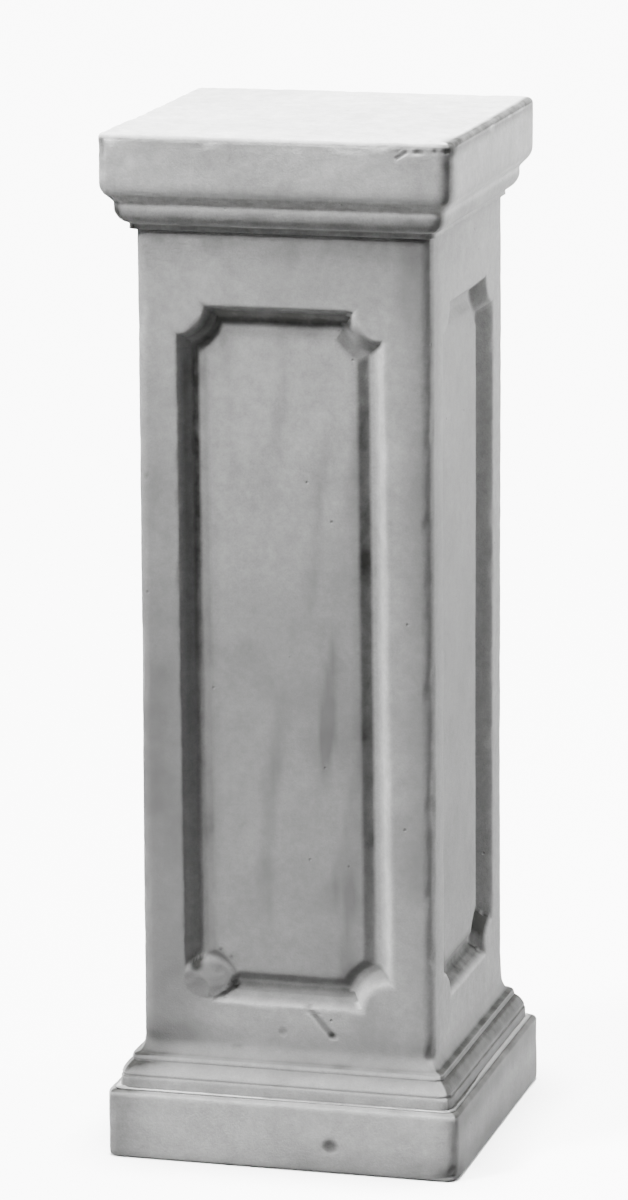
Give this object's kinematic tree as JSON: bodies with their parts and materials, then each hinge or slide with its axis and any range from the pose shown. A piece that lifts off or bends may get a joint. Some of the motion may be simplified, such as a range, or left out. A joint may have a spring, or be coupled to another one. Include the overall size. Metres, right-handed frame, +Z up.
{
  "type": "square garden pedestal",
  "caption": "Square cast-stone pedestal with a moulded cap, sunk panels with scooped corners on the shaft, and a moulded base on a plain plinth.",
  "frame": {"origin": "middle of the underside, on the surface that the pedestal stands on", "axes": "+Z up; the face that the picture shows in front faces -Y, and the one beside it faces +X"},
  "size_m": [0.3, 0.3, 0.856],
  "materials": {
    "shaft_stone": "weathered grey cast stone, matt",
    "cap_stone": "weathered grey cast stone, paler on top, matt"
  },
  "bodies": {
    "root": {"shaft_and_base": "shaft_stone", "cap": "cap_stone"}
  },
  "joints": []
}
